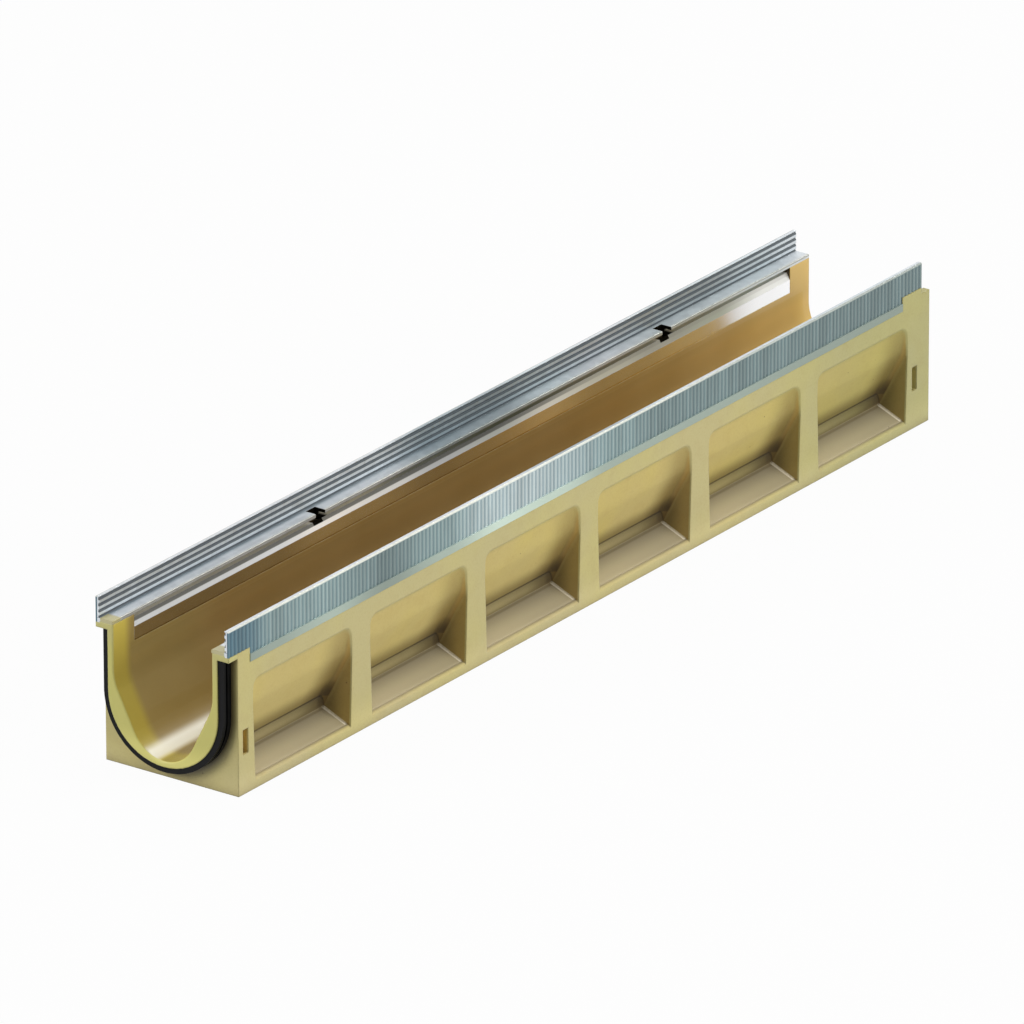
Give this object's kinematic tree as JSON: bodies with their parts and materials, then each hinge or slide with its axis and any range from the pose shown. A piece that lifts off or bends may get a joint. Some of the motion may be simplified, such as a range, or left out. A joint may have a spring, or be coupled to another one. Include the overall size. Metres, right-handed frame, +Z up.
{
  "type": "channel drain",
  "caption": "Polymer concrete drainage channel with a rounded V hollow, side pockets, galvanised steel edge rails, and a sealed collar and socket for joining lengths end to end.",
  "frame": {"origin": "middle of the underside, halfway between the collar's end and the socket's end", "axes": "+Z up, +Y along the channel towards the socket, +X across it"},
  "size_m": [0.1362, 1.012, 0.15],
  "materials": {
    "polymer_concrete": "fine-grained cast polymer concrete, tan",
    "galvanised_steel": "hot-dip galvanised, satin",
    "seal_rubber": "black, satin"
  },
  "bodies": {
    "root": {"channel_body": "polymer_concrete", "right_edge_rail": "galvanised_steel", "left_edge_rail": "galvanised_steel", "end_seal": "seal_rubber"}
  },
  "joints": []
}
